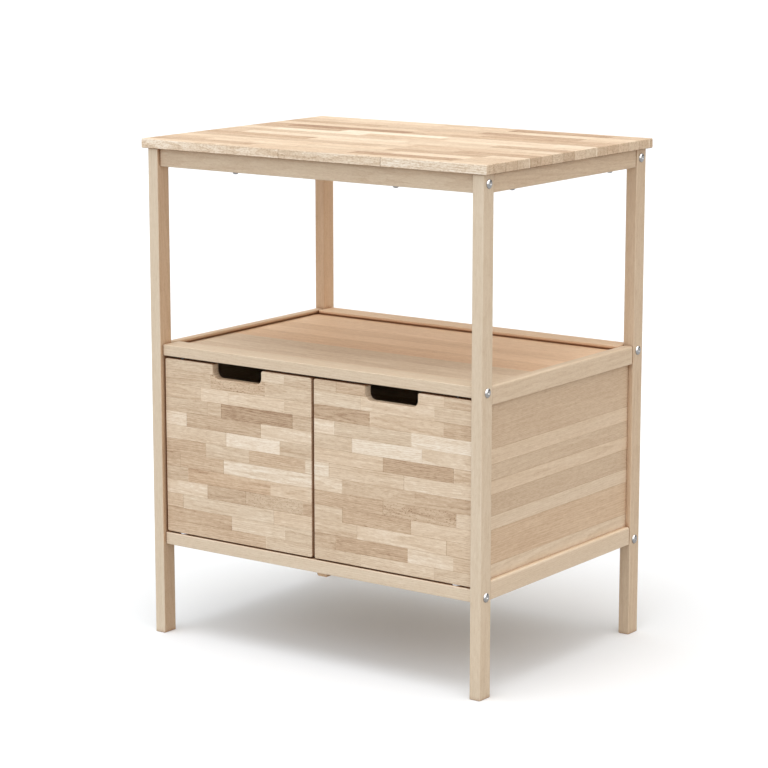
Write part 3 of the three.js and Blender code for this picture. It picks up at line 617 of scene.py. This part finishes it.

# tone, hue, and the painted side shade: how much redder and darker the +X face is made, standing in for
# shade and warm bounce light
POSTS = {
    "front_left": (0.60, 0.0, (0.6, 0.26)),
    "front_right": (0.60, 0.0, (0.1, 0.0)),
    # the back posts' lower tones and the back left post's redder hue are painted shade: they stand in the
    # shade under the tabletop
    "back_left": (0.40, 1.0, (0.2, -0.16)),
    "back_right": (0.43, 0.25, None),
}
RAIL_TONES = {"upper": 0.48, "middle": 0.58, "lower": 0.66}
BACK_RAIL_PALER, SIDE_RAIL_DARKER = 0.18, 0.02
for place, (tone, hue, painted_side_shade) in POSTS.items():
    board("post_" + place, "zxy", post_wood, tone, flatness=0.2, hue=hue, painted_side_shade=painted_side_shade)
for level, tone in RAIL_TONES.items():
    board(level + "_rail_front", "xyz", rail_wood, tone, hue=0.1)
    board(level + "_rail_back", "xyz", rail_wood, tone + BACK_RAIL_PALER, hue=1.3)
    for side, hue in (("left", 0.7), ("right", 0.25)):
        board(f"{level}_rail_{side}", "yxz", side_rail_wood, tone - SIDE_RAIL_DARKER,
              hue=hue)
board("bottom_batten", "yxz", side_rail_wood, 0.02, hue=1.2)

# tabletop: rows listed from the back edge, staves from the left end
TOP_ROWS = (
    "150l 330lb 520m 704mt", "95l 290lb 440lm 640td 704m", "95m 290l 480lm 625b 704l",
    "210t 420m 625td 704lm", "300l 450m 704mt", "60t 315d 525tm 704mt", "200t 415B 630l 704b",
    "75l 270B 435m 704lb", "360m 560lm 704t", "65m 400b 704l", "235t 440l 704m", "400mt 555m 704dt",
    "445l 635t 704l", "95m 290l 480lm 625b 704lm", "215t 420m 625td 704lm", "295l 501lm 704l",
)
TOP_BACK_ROW, TOP_PITCH = 13.0, 34.0
low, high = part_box("tabletop")
glued("tabletop", "xyz", top_wood, high.y / MM,
      block_rows((high.y - low.y) / MM, TOP_BACK_ROW, TOP_PITCH, len(TOP_ROWS)), TOP_ROWS, low.x / MM,
      "tabletop_slab", flatness=0.45, jitter=0.05, pale_joints=(0, 5, 11))

# doors: rows listed from the top edge
DOOR_ROWS = {
    "left": (
        "105lm 208m 258l 316m", "100mt 218tS 316m", "78m 139l 258l 316lm", "93mt 123m 276d 316mt",
        "46b 208t 316b", "90lm 133lm 249B 316m", "88mt 183lm 302mt 316l", "31t 127mt 316bl",
        "48mt 228tP 316l", "91l 175td 297mtS 316t", "36m 235l 316lm", "144t 258l 316m", "218t 316m",
    ),
    "right": (
        "46m 105t 208t 262lm 316mt", "96lm 242l 316m", "115td 260m 316t", "41b 197lm 316b",
        "79m 218b 316l", "141lm 281dt 316lm", "31b 183lm 316lb", "58l 204mt 316t",
        "141mt 286tS 316l", "58l 197td 316lm", "88m 267l 316m", "45t 191dt 280l 316m", "96m 242lm 316m",
    ),
}
DOOR_FIRST_ROW, DOOR_PITCH = 18.0, 24.2
for side, rows in DOOR_ROWS.items():
    low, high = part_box("door_" + side)
    glued("door_" + side, "xzy", door_wood, high.z / MM,
          block_rows((high.z - low.z) / MM, DOOR_FIRST_ROW, DOOR_PITCH, len(rows)), rows, low.x / MM,
          f"door_{side}_leaf", body=side + "_door", flatness=0.5, gain=0.78)

# thin panels: full-length staves, listed from the top or from the back
WHOLE = "700"  # the word of a stave that is alone in its row and so runs from end to end
SIDE_BANDS = ("mt", "lm", "mmt", "lmm", "mt", "lm", "mtP", "lm")
SIDE_ENDS = (75, 100, 127, 150, 185, 208, 265, 300)
low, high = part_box("side_panel_right")
in_groove = (high.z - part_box("middle_rail_right")[0].z) / MM
for side in ("left", "right"):
    bands = SIDE_BANDS if side == "right" else SIDE_BANDS[::-1]
    glued("side_panel_" + side, "yzx", side_panel_wood, high.z / MM - in_groove,
          SIDE_ENDS, [WHOLE + b for b in bands], low.y / MM, f"side_panel_{side}_sheet", jitter=0.03)
# the pink on the back bands and the strong pink hue are partly the wood's own pink and partly painted
# warm shade at the back of the shelf
SHELF_BANDS = ("lmP", "mP", "lmP", "mtP", "mP", "mt", "m", "mt", "mt")
SHELF_ENDS = (100, 142, 188, 248, 252, 303, 345, 366, 411)
low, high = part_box("shelf_panel")
glued("shelf_panel", "xyz", long_panel_wood, high.y / MM, SHELF_ENDS,
      [WHOLE + b for b in SHELF_BANDS], low.x / MM, "shelf_panel_board", pink_hue=1.6)
FLOOR_BANDS = ("m", "lm", "mt", "l", "m", "t", "lm", "m", "mt")
low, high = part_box("bottom_panel")
glued("bottom_panel", "xyz", long_panel_wood, high.y / MM,
      even_rows((high.y - low.y) / MM, 40.0, 46.0), [WHOLE + b for b in FLOOR_BANDS], low.x / MM,
      "bottom_panel_board")
BACK_BANDS = ("m", "t", "lm", "mt", "l", "m", "t")
low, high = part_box("back_panel")
glued("back_panel", "xzy", back_panel_wood, high.z / MM,
      even_rows((high.z - low.z) / MM, 40.0, 48.0), [WHOLE + b for b in BACK_BANDS], low.x / MM,
      "back_panel_sheet")


# ---- steel and plastic pieces -------------------------------------------------------

def ring(bm, radius, height, turns):
    """Corners round +Z at height, at a radius that may be a function of the angle."""
    reach = radius if callable(radius) else lambda a: radius * MM
    return [bm.verts.new((reach(a) * math.cos(a), reach(a) * math.sin(a), height * MM)) for a in turns]


def join(bm, a, b):
    """A band of faces between two rings."""
    for i in range(len(a)):
        j = (i + 1) % len(a)
        bm.faces.new((a[i], a[j], b[j], b[i]))


def hexagon(flats):
    """Polar radius of a hexagonal socket, in metres."""
    def radius(a):
        return flats / 2 * MM / math.cos((a % (math.pi / 3)) - math.pi / 6)
    return radius


def cross(length, width):
    """Polar radius of a cross recess, in metres."""
    def radius(a):
        c, s = max(abs(math.cos(a)), 1e-6), max(abs(math.sin(a)), 1e-6)
        return MM / 2 * max(min(length / c, width / s), min(width / c, length / s))
    return radius


def hardware(node, suffix, material, profile, segments, at, axis, spin=0.0):
    """A turned metal part of the frame. Its own +Z points along axis from the point at.
    The profile runs from the closed end on -Z to the closed end on +Z."""
    bm = bmesh.new()
    turns = [math.tau * (i + 0.5) / segments for i in range(segments)]
    rings = [ring(bm, radius, height, turns) for radius, height in profile]
    for a, b in zip(rings, rings[1:]):
        join(bm, a, b)
    bm.faces.new(rings[0][::-1])
    bm.faces.new(rings[-1])
    turn = Vector((0, 0, 1)).rotation_difference(Vector(axis)).to_matrix().to_4x4()
    bm.transform(Matrix.Translation(at) @ turn @ Matrix.Rotation(spin, 4, "Z"))
    finish_piece(bm, node + suffix, [node], "frame", material)


bolt_steel = steel("zinc_bolt", linear(190, 189, 188), roughness=0.17, grain=(0.4, 2.2, 2.2),
                   rough_swing=0.05)
screw_steel = steel("zinc_screw", linear(172, 174, 178), roughness=0.30, grain=(2.2, 2.2, 0.4),
                    rough_swing=0.06)
pin_steel = steel("zinc_pin", linear(96, 94, 92), roughness=0.42, grain=(0.6, 0.6, 6.0),
                  rough_swing=0.05)
washer_nylon = plastic("nylon_washer", linear(244, 247, 252), roughness=0.42)
catch_plastic = plastic("catch_shell", linear(232, 229, 221), roughness=0.46)

# profiles of the heads as (radius, height) in mm from the seat outwards: rim, low dome,
# broken edge, recess and its floor
BOLT_HEAD, SCREW_HEAD = 2.8, 3.2
BOLT_HEAD_PROFILE = (
    (7.55, 0.0), (7.8, 0.2), (7.8, 0.55), (7.6, 0.95), (7.1, 1.4), (6.3, 1.88), (5.3, 2.3), (4.2, 2.62),
    (3.3, BOLT_HEAD), (2.9, 2.74), (hexagon(4.4), 2.42), (hexagon(4.4), 0.95), (hexagon(3.6), 0.8),
)
SCREW_HEAD_PROFILE = (
    (4.4, 0.0), (4.6, 0.2), (4.6, 1.0), (4.45, 1.75), (4.0, 2.45), (3.3, 2.95), (2.75, 3.15),
    (2.5, SCREW_HEAD), (cross(4.6, 1.5), 3.0), (cross(4.6, 1.5), 2.0), (cross(2.6, 0.9), 1.3),
)
BOLT_TURNS, SCREW_TURNS, PIN_TURNS, WASHER_TURNS = 48, 56, 32, 48
WASHER_BORE = 3.3

for level in RAIL_TONES:
    for depth in ("front", "back"):
        for side, out in (("left", -1), ("right", 1)):
            node = f"bolt_{level}_{depth}_{side}"
            low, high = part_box(node)
            seat = (high.x if out > 0 else low.x) - out * BOLT_HEAD * MM
            reach = (high.x - low.x) / MM - BOLT_HEAD
            shank = ((1.9, -reach), (3.0, -reach + 1.1), (3.0, -0.35), (3.0, 0.0))
            hardware(node, "_m6", bolt_steel, shank + BOLT_HEAD_PROFILE, BOLT_TURNS,
                     (seat, (low.y + high.y) / 2, (low.z + high.z) / 2), (out, 0, 0), draw.uniform(0, 1))

for node in sorted(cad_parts):
    if "_screw_" in node:
        low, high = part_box(node)
        point = SCREW_HEAD - (high.z - low.z) / MM
        shank = ((0.35, point), (1.6, point + 3.2), (2.0, point + 4.2), (2.0, 0.0))
        hardware(node, "_pan", screw_steel, shank + SCREW_HEAD_PROFILE, SCREW_TURNS,
                 ((low.x + high.x) / 2, (low.y + high.y) / 2, low.z + SCREW_HEAD * MM), (0, 0, -1),
                 draw.uniform(0, 3))
    if "_pin_" in node:
        low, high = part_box(node)
        tall = (high.z - low.z) / MM
        rod = ((2.2, 0.0), (2.7, 0.15), (3.0, 0.8), (3.0, tall - 0.8), (2.7, tall - 0.15), (2.2, tall))
        hardware(node, "_rod", pin_steel, rod, PIN_TURNS,
                 ((low.x + high.x) / 2, (low.y + high.y) / 2, low.z), (0, 0, 1))


def washer(node):
    """A flat ring with broken edges."""
    low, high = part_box(node)
    tall, outer, inner = (high.z - low.z) / MM, (high.x - low.x) / 2 / MM, WASHER_BORE
    profile = ((inner + 0.2, 0.0), (outer - 0.35, 0.0), (outer, 0.3), (outer, tall - 0.3),
               (outer - 0.35, tall), (inner + 0.2, tall), (inner, tall - 0.2), (inner, 0.2))
    bm = bmesh.new()
    turns = [math.tau * i / WASHER_TURNS for i in range(WASHER_TURNS)]
    rings = [ring(bm, radius, height, turns) for radius, height in profile]
    for a, b in zip(rings, rings[1:] + rings[:1]):
        join(bm, a, b)
    bm.transform(Matrix.Translation(((low.x + high.x) / 2, (low.y + high.y) / 2, low.z)))
    finish_piece(bm, node + "_ring", [node], "frame", washer_nylon)


for side in ("left", "right"):
    washer(f"door_{side}_washer")
    for node, body, slot, material in (
        (f"catch_{side}", "frame", "catch_plastic", catch_plastic),
        (f"strike_plate_{side}", side + "_door", "screw_steel", screw_steel),
    ):
        finish_piece(welded(node), node + "_part", [node], body, material)


# ---- floor, light, camera -----------------------------------------------------------

FLOOR_RADIUS, FLOOR_SEGMENTS = 60.0, 96
FLOOR_SEEN = ((0.3, (0.93, 0.95, 0.97, 1.0)), (0.7, (0.95, 0.97, 0.99, 1.0)))
FLOOR_GLOW = (0.50, 0.51, 0.52, 1.0)  # what it throws back onto the furniture, as a matt sweep does
FLOOR_CLOUD = ((0.8, 0.8, 0.8), 2.0, 0.5)  # noise frequencies per metre, detail and roughness
FLOOR_ROUGHNESS, FLOOR_SPECULAR = 0.85, 0.2
net = Net("floor_white")
cloud = net.noise(net.node("ShaderNodeTexCoord").outputs["Object"], *FLOOR_CLOUD)
seen_straight = net.node("ShaderNodeLightPath").outputs["Is Camera Ray"]
net.feed(net.shader.inputs["Base Color"],
         net.blend(seen_straight, FLOOR_GLOW, net.ramp(cloud, FLOOR_SEEN)))
net.shader.inputs["Roughness"].default_value = FLOOR_ROUGHNESS
net.shader.inputs["Specular IOR Level"].default_value = FLOOR_SPECULAR
bm = bmesh.new()
bmesh.ops.create_circle(bm, cap_ends=True, radius=FLOOR_RADIUS, segments=FLOOR_SEGMENTS)
mesh = bpy.data.meshes.new("floor")
bm.to_mesh(mesh)
bm.free()
mesh.materials.append(net.material)
floor = bpy.data.objects.new("floor", mesh)
bpy.context.scene.collection.objects.link(floor)
floor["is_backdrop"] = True

# the sky that lights by diffuse rays: each colour's mean level, and how it rises to the right,
# to the back and overhead
SKY = ((0.845, (0.12, -0.36, 0.14)), (0.84, (0.06, -0.38, 0.14)), (0.835, (0.02, -0.43, 0.14)))
# sheen and polished steel mirror a bright softbox, high on the right, and a bright ceiling:
# where each is, the cosines between which it fades in, and its strength away from it and in it
MIRRORED = (((0.75, -0.35, 0.55), 0.36, 0.70, 0.22, 2.4), ((0.0, 0.0, 1.0), 0.26, 0.58, 0.0, 2.1))
BACKDROP = 1.05  # strength of the white that the camera sees

world = bpy.data.worlds.new("studio")
bpy.context.scene.world = world
world.use_nodes = True
tree = world.node_tree
tree.nodes.clear()


def world_node(kind, *inputs, **settings):
    """A node of the world with its inputs given in order, as values or as other nodes' sockets."""
    n = tree.nodes.new(kind)
    for key, value in settings.items():
        setattr(n, key, value)
    for socket, value in zip(n.inputs, inputs):
        if isinstance(value, bpy.types.NodeSocket):
            tree.links.new(value, socket)
        else:
            socket.default_value = value
    return n


direction = world_node("ShaderNodeTexCoord").outputs["Generated"]


def lean(axis):
    """How far the looked-at direction leans along axis."""
    return world_node("ShaderNodeVectorMath", direction, axis, operation="DOT_PRODUCT").outputs["Value"]


def lamp_glow(toward, start, end, away, full):
    return world_node("ShaderNodeMapRange", lean(toward), start, end, away, full,
                      interpolation_type="SMOOTHSTEP").outputs["Result"]


channels = [world_node("ShaderNodeMath", lean(slope), mean, operation="ADD").outputs[0]
            for mean, slope in SKY]
colour = world_node("ShaderNodeCombineXYZ", *channels).outputs[0]
bright = world_node("ShaderNodeMath", *(lamp_glow(*m) for m in MIRRORED), operation="ADD").outputs[0]
path = world_node("ShaderNodeLightPath").outputs
sky = world_node("ShaderNodeBackground", colour, 1.0).outputs[0]
mirrored = world_node("ShaderNodeBackground", WHITE, bright).outputs[0]
backdrop = world_node("ShaderNodeBackground", WHITE, BACKDROP).outputs[0]
lit = world_node("ShaderNodeMixShader", path["Is Glossy Ray"], sky, mirrored).outputs[0]
shown = world_node("ShaderNodeMixShader", path["Is Camera Ray"], lit, backdrop).outputs[0]
world_node("ShaderNodeOutputWorld", shown)


def aim(obj, toward):
    """Turns a lamp or camera to look along toward and puts it into the scene."""
    obj.rotation_mode = "QUATERNION"
    obj.rotation_quaternion = Vector(toward).to_track_quat("-Z", "Y")
    bpy.context.scene.collection.objects.link(obj)


# a broad overhead lamp, as even over the floor as the sky
LAMP_STRENGTH, LAMP_WIDTH, LAMP_TOWARD = 0.88, 33, (-0.03, 0.20, -1.0)  # its width in degrees
lamp_data = bpy.data.lights.new("overhead", "SUN")
lamp_data.energy = LAMP_STRENGTH
lamp_data.angle = math.radians(LAMP_WIDTH)
aim(bpy.data.objects.new("overhead", lamp_data), LAMP_TOWARD)

# the camera, from a fit to the edges of the photographed table; metres and radians
CAMERA_AT = (2.59896, -3.63307, 1.31630)
CAMERA_YAW, CAMERA_PITCH = -0.6259, 0.1933
LENS, SENSOR = 123.7, 36.0  # mm
NEAREST, FURTHEST = 0.05, 200.0
camera_data = bpy.data.cameras.new("camera")
camera_data.lens = LENS
camera_data.sensor_width = SENSOR
camera_data.clip_start, camera_data.clip_end = NEAREST, FURTHEST
camera = bpy.data.objects.new("camera", camera_data)
camera.location = CAMERA_AT
aim(camera, (math.sin(CAMERA_YAW) * math.cos(CAMERA_PITCH),
             math.cos(CAMERA_YAW) * math.cos(CAMERA_PITCH),
             -math.sin(CAMERA_PITCH)))
bpy.context.scene.camera = camera

bpy.context.scene.view_settings.view_transform = "Standard"
bpy.context.scene.view_settings.look = "None"

low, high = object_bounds()
